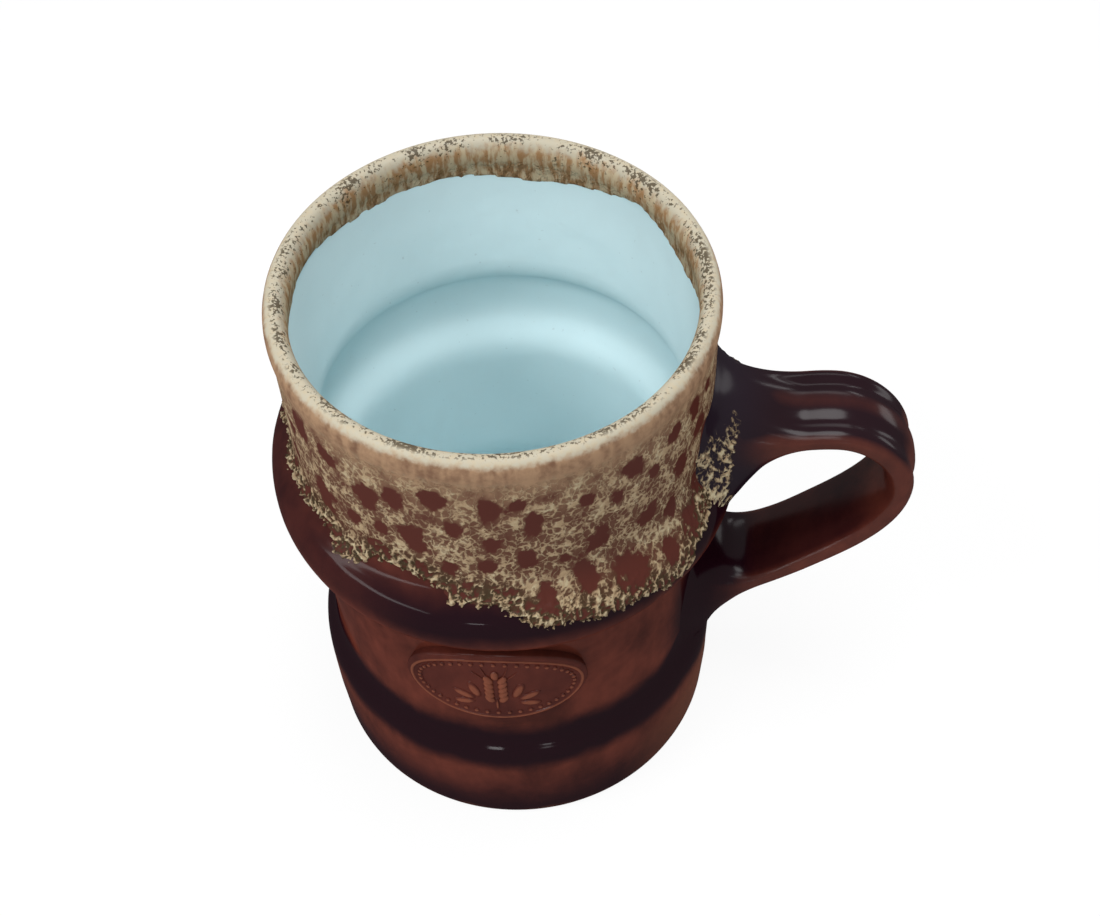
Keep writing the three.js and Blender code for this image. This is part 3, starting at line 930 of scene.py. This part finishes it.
class MUG_OT_froth(bpy.types.Operator):
    """Run the froth glaze over the lip and down the collar"""

    bl_idname = "mug.froth"
    bl_label = "Froth glaze"

    SUNK = 0.9 * MM
    EDGE_SOFT = (-0.2 * MM, 0.5 * MM)
    FRINGE_REACH = (2 * MM, 9 * MM)
    WINDOW_REACH = (1 * MM, 5 * MM)
    LIP_FOOT, LIP_HEAD = 9 * MM, 4 * MM
    LIP_RELIEF = 0.72 * MM
    BARE_DEPTH = 0.45 * MM
    FRINGE_TOP = 19 * MM
    MOUTH_DEPTH = 13 * MM
    FRINGE_STOPS, UPPER_STOPS = 54, 64

    def execute(self, context):
        track = self.track()
        sparse = track[::6] + track[-1:]
        under = offset(sparse, [-self.SUNK] * len(sparse))
        bm = turn(track + under[::-1], COAT_STEPS, True, len(track))
        piece = finish_piece(bm, "froth_coat", froth_glaze(), "froth_glaze")
        places, normals = read(piece, "co"), read(piece, "normal")
        on_skin = read_layer(piece, "skin") > 0.5
        lift, marks = self.relief(places[on_skin])
        places[on_skin] += normals[on_skin] * lift[:, None]
        self.keep_in_box(places)
        write_places(piece, places)
        for name, values in marks.items():
            spread = np.zeros(len(places))
            spread[on_skin] = values
            store(piece, name, spread)
        return {"FINISHED"}

    def relief(self, places):
        """How far the coat stands out at each place, and the marks that its material reads."""
        s = sizes()
        angle, height = azimuth(places[:, 0], places[:, 1]), places[:, 2]
        inside = np.hypot(places[:, 0], places[:, 1]) < crown_radius()
        slow = cloud_at(places, 9 * MM, 3)
        wide = cloud_at(places, 3.4 * MM, 1)
        small = cloud_at(places, 1.1 * MM, 2)
        strands = strands_at(places, STRAND_SPACING, small)
        windows = window_field(angle, height, s.collar, 0.34 * small + 0.42 * wide)

        outer = height - froth_edge(angle) + (0.7 * (strands - 0.5) - 0.9 * wide - 0.6 * small) * MM
        inner = height - mouth_edge(angle) + (0.4 * slow + 0.35 * wide + 0.15 * small) * MM
        above = np.where(inside, inner, outer)
        cover = smooth_step(*self.EDGE_SOFT, above)
        fringe = 1 - smooth_step(*self.FRINGE_REACH, above + 1.5 * MM * wide)
        fringe[inside] = 0
        windows *= smooth_step(*self.WINDOW_REACH, above)
        top = smooth_step(s.height - self.LIP_FOOT, s.height - self.LIP_HEAD, height)

        lace = 0.31 + 0.30 * wide + 0.10 * strands - 0.8 * windows
        thick = 0.04 + 0.58 * strands + 0.16 * small - 0.5 * windows
        density = np.clip(np.maximum(lace * (1 - fringe) + thick * fringe, top), 0, 1)
        raised = (0.12 + 0.16 * density + 0.32 * fringe * strands) * MM
        raised = raised * (1 - top) + self.LIP_RELIEF * top
        lift = raised * cover - self.BARE_DEPTH * (1 - cover)
        return lift, {"froth": density, "fringe": fringe}

    def track(self):
        """The clay under the coat, with close steps where the fringe lies."""
        s, band = sizes(), levels().band
        end = s.height - self.MOUTH_DEPTH
        path = Outline(s.band, band)
        shoulder_and_collar(path, 1)
        lip(path, 12)
        path.line(mouth_radius(end), end)
        line, run = run_along(path.points)
        fringe_end = np.interp(band + self.FRINGE_TOP, line[:, 1], run)
        stops = np.concatenate([
            np.linspace(0, fringe_end, self.FRINGE_STOPS, endpoint=False),
            np.linspace(fringe_end, run[-1], self.UPPER_STOPS),
        ])
        return [Vector((np.interp(t, run, line[:, 0]), np.interp(t, run, line[:, 1]), 0)) for t in stops]

    def keep_in_box(self, places):
        """Holds the relief inside the solids' box, which the band and the height give."""
        band, height = sizes().band, sizes().height
        places[:, 0] = np.maximum(places[:, 0], -band)
        places[:, 1] = np.clip(places[:, 1], -band, band)
        places[:, 2] = np.minimum(places[:, 2], height)


class MUG_OT_handle(bpy.types.Operator):
    """Loft the handle strap along its spine"""

    bl_idname = "mug.handle"
    bl_label = "Strap handle"

    RING = 128
    STATIONS = 170
    CROWDING = 0.7
    ARC_STEPS = 60

    # Spine: heights over the band and the foot of the waist, and how far its ends lie in the clay
    ARCH_RISE, GRIP_DROP = 18.3 * MM, 1.6 * MM
    UPPER_RISE, LOWER_RISE = 10 * MM, 3.5 * MM
    ROOT_DEPTH = 5 * MM

    # Section: swelling roots, rolled edges, and grooves by their place and width as shares of the strap
    SWELL = 18 * MM
    UPPER_ROOT, LOWER_ROOT = 20.5 * MM, 16 * MM
    FLARE, FLARE_REACH = 2.4 * MM, 14.3 * MM
    GAP_SIDE = 17 * MM
    ROLL, ROOT_ROLL = 0.72, 1.4
    GROOVE_DEPTH, GROOVE_PLACE, GROOVE_WIDTH = 0.75 * MM, 0.5, 0.2
    RIB_WIDTH = 0.26

    # Seat on the wall, and where the froth ran onto the upper root
    FILLET = 7.5 * MM
    SEAT_DEPTH, SINK = 1.2 * MM, 0.35 * MM
    FROTH_FOOT, FROTH_HEAD = (1 * MM, 3 * MM), (18 * MM, 22 * MM)
    FROTH_SOFT = 0.4 * MM

    def execute(self, context):
        spine = self.spine()
        bm = bmesh.new()
        self.back = bm.verts.layers.float.new("back")
        ring = bmesh.ops.create_circle(bm, segments=self.RING, radius=1)["verts"]
        shares = [(v.co.x, v.co.y) for v in ring]
        loop = bm.edges[:]
        self.shape(ring, shares, spine, 0)
        for station in range(1, len(spine)):
            made = bmesh.ops.extrude_edge_only(bm, edges=loop)["geom"]
            loop = [e for e in made if isinstance(e, bmesh.types.BMEdge)]
            ring = self.follow(ring, made)
            self.shape(ring, shares, spine, station)
        close_ends(bm)
        piece = finish_piece(bm, "strap_handle", handle_glaze(), "handle")
        self.seat(piece)
        return {"FINISHED"}

    def follow(self, ring, made):
        """The new ring's vertices, in the order of the ring that they were drawn from."""
        fresh = {v for v in made if isinstance(v, bmesh.types.BMVert)}
        return [next(e.other_vert(v) for e in v.link_edges if e.other_vert(v) in fresh) for v in ring]

    def spine(self):
        """Middle line of the strap, with its heading and the distance to each root."""
        s, at = sizes(), levels()
        half = s.strap_thickness / 2
        wall = min(s.waist, s.collar - s.coat)
        grip, arch = s.grip - half, at.band + self.ARCH_RISE - half
        grip_level = at.band - self.GRIP_DROP
        upper, lower = at.band + self.UPPER_RISE, at.waist_foot + self.LOWER_RISE

        def out(share):
            return s.band + (grip - s.band) * share

        def up(share):
            return lower + (grip_level - lower) * share

        crest = out(0.55)
        path = Outline(wall - self.ROOT_DEPTH, upper)
        path.line(wall, upper, 10)
        path.curve((out(0), upper), (out(0.28), arch), (crest, arch), self.ARC_STEPS)
        path.curve(
            (crest + (grip - crest) * QUARTER, arch), (grip, arch + (grip_level - arch) * QUARTER),
            (grip, grip_level), self.ARC_STEPS,
        )
        path.curve((grip, up(0.69)), (out(0.68), up(0.46)), (out(0.51), up(0.32)), self.ARC_STEPS)
        path.curve((out(0.34), up(0.18)), (out(0.07), lower), (wall, lower), self.ARC_STEPS)
        path.line(wall - self.ROOT_DEPTH, lower, 10)
        return self.even(path.points)

    def even(self, points):
        """The same line with its stations closer together at the roots."""
        line, run = run_along(points)
        share = np.linspace(0, 1, self.STATIONS)
        stops = run[-1] * (share - self.CROWDING * np.sin(FULL_TURN * share) / FULL_TURN)
        places = np.stack([np.interp(stops, run, line[:, i]) for i in (0, 1)], axis=1)
        heading = np.gradient(places, stops, axis=0)
        heading /= np.linalg.norm(heading, axis=1)[:, None]
        return list(zip(places, heading, stops, run[-1] - stops))

    def shape(self, ring, shares, spine, station):
        """Moves one ring to its station: rolled edges, and a rib and two grooves on the back."""
        s = sizes()
        place, heading, from_upper, from_lower = spine[station]
        upper = np.clip(1 + (self.ROOT_DEPTH - from_upper) / self.UPPER_ROOT, 0, 1)
        lower = np.clip(1 + (self.ROOT_DEPTH - from_lower) / self.LOWER_ROOT, 0, 1)
        swell = self.SWELL * (upper ** 1.5 + lower ** 2)
        half, start = s.strap_thickness / 2, s.band + self.FLARE_REACH
        reach = np.clip((start - place[0]) / (start - s.collar), 0, 1.2)
        wide = s.strap_width / 2 + self.FLARE * reach ** 2
        for vert, (side, lift) in zip(ring, shares):
            across = wide * math.copysign(abs(side) ** self.ROLL, side)
            rise = half * abs(lift) ** self.ROLL + swell * abs(lift) ** self.ROOT_ROLL
            rise = math.copysign(rise, lift)
            if lift < 0:
                rise = max(rise, -self.GAP_SIDE)
            else:
                rise -= self.groove(across / wide) * (1 - reach) * min(1, lift * 3)
            vert.co = (place[0] - heading[1] * rise, across, place[1] + heading[0] * rise)
            vert[self.back] = lift

    def groove(self, share):
        """Depth of the two grooves across the strap's back."""
        away = (abs(share) - self.GROOVE_PLACE) / self.GROOVE_WIDTH
        return self.GROOVE_DEPTH * math.exp(-away * away)

    def seat(self, piece):
        """Keeps the roots inside the clay and fillets them into the wall."""
        places = read(piece, "co")
        wall = np.interp(places[:, 2], *wall_radius())
        radius = np.hypot(places[:, 0], places[:, 1])
        gap = radius - wall
        share = places[:, 1] / (sizes().strap_width / 2)
        near = np.clip(1 - gap / self.FILLET, 0, 1)
        flare = self.FILLET * (1 - np.sqrt(1 - near ** 2)) + np.clip(-gap, 0, self.SEAT_DEPTH)
        turned = np.arctan2(places[:, 1], places[:, 0]) + np.clip(share, -1, 1) * flare / radius
        turned *= np.clip((gap + 4.5 * MM) / (2.5 * MM), 0, 1)
        sunk = radius - self.SINK * (1 - smooth_step(0, self.SEAT_DEPTH, gap))
        radius = np.maximum(sunk, wall - self.SEAT_DEPTH)
        places[:, 0], places[:, 1] = radius * np.cos(turned), radius * np.sin(turned)
        write_places(piece, places)
        self.mark(piece, share, gap)
        self.froth(piece, places, share, radius)

    def mark(self, piece, share, gap):
        """Ridges, the pooled glaze and painted shade near the roots, and the strap's back, which its
        material reads.
        """
        back = read_layer(piece, "back")
        rib = np.exp(-((share / self.RIB_WIDTH) ** 2)) * smooth_step(0.3, 0.7, back)
        edge = smooth_step(0.78, 0.96, np.abs(share))
        away = smooth_step(3 * MM, 15 * MM, gap)
        store(piece, "ridge", np.maximum(rib * 0.45, edge * 0.8) * away)
        # Painted shade: the strap darkens where it nears the wall, over pooled glaze
        store(piece, "pool", 0.75 * (1 - away))
        store(piece, "outside", smooth_step(-0.2, 0.2, back))

    def froth(self, piece, places, share, radius):
        """Froth that ran from the collar onto the upper root."""
        small = cloud_at(places, 1.1 * MM, 4)
        wide = cloud_at(places, 3.0 * MM, 5)
        strands = strands_at(places, STRAND_SPACING, small)
        level = places[:, 2] + 2 * MM * wide - levels().band
        within = smooth_step(*self.FROTH_FOOT, level) * (1 - smooth_step(*self.FROTH_HEAD, level))
        side = smooth_step(0.35, 0.8, np.abs(share))
        reach = (2.2 + 3.2 * side + 1.6 * wide + 0.9 * small) * MM
        beyond = radius - sizes().collar - reach
        cover = (1 - smooth_step(-self.FROTH_SOFT, self.FROTH_SOFT, beyond)) * within
        raised = (0.1 + 0.35 * strands) * cover * MM
        write_places(piece, places + read(piece, "normal") * raised[:, None])
        store(piece, "froth", cover * np.clip(0.1 + 0.62 * strands + 0.16 * small, 0, 1))


class MUG_OT_plaque(bpy.types.Operator):
    """Press the oval plaque with a beaded border and an ear of barley"""

    bl_idname = "mug.plaque"
    bl_label = "Oval plaque"

    def execute(self, context):
        material = plaque_glaze()
        bm = self.slab()
        slab = finish_piece(bm, "oval_plaque", material, "plaque")
        self.wrap(slab)
        bm = self.motif()
        ear = finish_piece(bm, "barley_relief", material, None)
        self.wrap(ear)
        return {"FINISHED"}

    def slab(self):
        """The oval, flat, with x round the waist, y up and z out of the wall."""
        s = sizes()
        wide, tall = s.plaque_width / 2, s.plaque_height / 2
        inner = 1 - PLAQUE_INSET / PLAQUE_RIM

        def at(inset, rise):
            return 1 - inset * MM / PLAQUE_RIM, rise * MM

        profile = Outline(0, PLAQUE_FIELD)
        profile.line(inner, PLAQUE_FIELD, 10)
        profile.curve(at(2.1, 1.7), at(1.9, 2.05), at(1.6, 2.1), 6)
        profile.curve(at(1.3, 2.12), at(1.2, 1.85), at(1.0, 1.8), 6)
        profile.curve(at(0.4, 1.75), (1, 1.5 * MM), (1, PLAQUE_EDGE), 8)
        profile.line(1, -PLAQUE_EDGE, 4)
        bm = turn(profile.points, PLAQUE_STEPS)
        for vert in bm.verts:
            out, turned = math.hypot(vert.co.x, vert.co.y), math.atan2(vert.co.y, vert.co.x)
            inset, share = PLAQUE_INSET, out / inner
            if out > inner:
                inset, share = PLAQUE_RIM * (1 - out), 1
            vert.co.x = (wide - inset) * share * math.cos(turned)
            vert.co.y = (tall - inset) * share * math.sin(turned)
        return bm

    def motif(self):
        """An upright ear of barley with awns between two leaves, inside a ring of beads."""
        s = sizes()
        bm = bmesh.new()
        wide, tall = s.plaque_width / 2 - BEAD_INSET, s.plaque_height / 2 - BEAD_INSET
        for i in range(BEADS):
            angle = FULL_TURN * i / BEADS
            self.grain(bm, (wide * math.cos(angle), tall * math.sin(angle)), 0, BEAD)
        for up in KERNEL_ROWS:
            for side in (-1, 1):
                self.grain(bm, (side * KERNEL_SIDE, up * MM), side * KERNEL_LEAN, KERNEL)
        self.grain(bm, (0, TIP_LEVEL), 0, TIP)
        self.grain(bm, (0, STALK_LEVEL), 0, STALK)
        for side in (-1, 1):
            for lean, reach in AWNS:
                self.blade(bm, side, AWN_ROOT, lean, reach, AWN)
            for lean, reach, half in LEAVES:
                self.blade(bm, side, LEAF_ROOT, lean, reach, (LEAF_WIDE, half, LEAF_THICK))
        return bm

    def blade(self, bm, side, root, lean, reach, half):
        """A long grain that leans away from its root beside the stalk."""
        tilt, middle = math.radians(lean), reach * BLADE_MIDDLE
        x, y = root[0] + middle * math.sin(tilt), root[1] + middle * math.cos(tilt)
        self.grain(bm, (side * x * MM, y * MM), -side * tilt, half)

    def grain(self, bm, spot, lean, half):
        """One raised grain: a squashed ball sunk half into the field."""
        made = bmesh.ops.create_icosphere(bm, subdivisions=2, radius=MM)["verts"]
        bmesh.ops.scale(bm, vec=half, verts=made)
        bmesh.ops.rotate(bm, cent=(0, 0, 0), matrix=Matrix.Rotation(lean, 3, "Z"), verts=made)
        bmesh.ops.translate(bm, vec=(*spot, RELIEF_LEVEL), verts=made)

    def wrap(self, piece):
        """Bends flat work round the waist."""
        s, at = sizes(), levels()
        centre = (at.waist_foot + at.waist_head) / 2 + PLAQUE_RISE
        places = read(piece, "co")
        radius = s.waist + PLAQUE_GAP + places[:, 2]
        angle = places[:, 0] / (s.waist + PLAQUE_BEND)
        wrapped = (radius * np.sin(angle), -radius * np.cos(angle), centre + places[:, 1])
        write_places(piece, np.stack(wrapped, axis=1))
        store(piece, "ridge", smooth_step(1.72 * MM, 2.15 * MM, places[:, 2]))


class MUG_OT_stage(bpy.types.Operator):
    """Set the floor, the lamps, the sky and the camera"""

    bl_idname = "mug.stage"
    bl_label = "Stage"

    def execute(self, context):
        self.floor()
        for lamp in LAMPS:
            self.lamp(*lamp)
        self.sky()
        self.camera()
        return {"FINISHED"}

    def floor(self):
        """A wide pale floor, which the camera sees nearly white."""
        bm = bmesh.new()
        bmesh.ops.create_grid(bm, x_segments=1, y_segments=1, size=FLOOR_SIZE)
        recipe = Recipe("pale_floor")
        matt = recipe.add("ShaderNodeBsdfDiffuse", {}, {"Color": bpy.context.scene.mug_stage.floor})
        white = recipe.add("ShaderNodeEmission", {}, {"Color": (1, 1, 1), "Strength": 1.0})
        seen = seen_directly(recipe)
        far = recipe.add("ShaderNodeVectorMath", {"operation": "LENGTH"}, {0: recipe.place()}, "Value")
        whiteness = seen * far.smooth(*FLOOR_FADE, 0.9, 1.0)
        shown = recipe.add("ShaderNodeMixShader", {}, {0: whiteness, 1: matt, 2: white})
        recipe.add("ShaderNodeOutputMaterial", {}, {"Surface": shown})
        floor = mesh_object(bm, "pale_floor", recipe.owner)

    def lamp(self, name, place, size, power):
        data = bpy.data.lights.new(name, "AREA")
        data.shape = "ELLIPSE"
        data.size, data.size_y = size
        data.energy = power
        lamp = add_object(name, data)
        lamp.location = place
        lamp.rotation_euler = (Vector(LAMP_TARGET) - lamp.location).to_track_quat("-Z", "Y").to_euler()

    def sky(self):
        """Dim light from all round; the camera, reflections and glass see it white like the floor."""
        recipe = Recipe("studio", "worlds")
        light = recipe.add(
            "ShaderNodeBackground", {},
            {"Color": (0.93, 0.96, 1.0), "Strength": bpy.context.scene.mug_stage.sky},
        )
        white = recipe.add("ShaderNodeBackground", {}, {"Color": (1, 1, 1), "Strength": 1.0})
        shown = recipe.add("ShaderNodeMixShader", {}, {0: seen_directly(recipe), 1: light, 2: white})
        recipe.add("ShaderNodeOutputWorld", {}, {"Surface": shown})
        bpy.context.scene.world = recipe.owner

    def camera(self):
        settings = bpy.context.scene.mug_stage
        data = bpy.data.cameras.new("photo_view")
        data.sensor_fit = "HORIZONTAL"
        data.lens = settings.focal / settings.photo_width * data.sensor_width
        data.shift_x = (settings.photo_width / 2 - settings.axis_column) / settings.photo_width
        data.clip_start = 0.01
        camera = add_object("photo_view", data)
        camera.location = settings.camera_place
        camera.rotation_euler = settings.camera_turn
        bpy.context.scene.camera = camera
        bpy.context.scene.view_settings.view_transform = "Standard"


def seen_directly(recipe):
    """1 for rays from the camera, reflections and glass, which see the white background."""
    path = recipe.add("ShaderNodeLightPath", {}, {}, "Is Camera Ray")
    node = path.socket.node
    for name in ("Is Glossy Ray", "Is Transmission Ray"):
        path = path.math("MAXIMUM", Shade(recipe, node.outputs[name]))
    return path


class MUG_PT_panel(bpy.types.Panel):
    """Lists the sizes, the colours and the steps"""

    bl_idname = "MUG_PT_panel"
    bl_label = "Glazed beer mug"
    bl_space_type = "VIEW_3D"
    bl_region_type = "UI"
    bl_category = "Mug"

    def draw(self, context):
        scene = context.scene
        for group in (scene.mug_sizes, scene.mug_colours, scene.mug_stage):
            box = self.layout.box()
            for name in group.bl_rna.properties.keys():
                if name not in ("rna_type", "name"):
                    box.prop(group, name)
        for step in STEPS:
            self.layout.operator(step.bl_idname)


GROUPS = {"mug_sizes": MugSizes, "mug_colours": GlazeColours, "mug_stage": StageSettings}
STEPS = (MUG_OT_wall, MUG_OT_liner, MUG_OT_froth, MUG_OT_handle, MUG_OT_plaque, MUG_OT_stage)


def register():
    for made in (*GROUPS.values(), *STEPS, MUG_PT_panel):
        bpy.utils.register_class(made)
    for name, group in GROUPS.items():
        setattr(bpy.types.Scene, name, bpy.props.PointerProperty(type=group))


def unregister():
    for name in GROUPS:
        delattr(bpy.types.Scene, name)
    for made in (MUG_PT_panel, *reversed(STEPS), *GROUPS.values()):
        bpy.utils.unregister_class(made)


def main():
    register()
    bpy.ops.mug.wall()
    bpy.ops.mug.liner()
    bpy.ops.mug.froth()
    bpy.ops.mug.handle()
    bpy.ops.mug.plaque()
    bpy.ops.mug.stage()


if __name__ == "__main__":
    main()
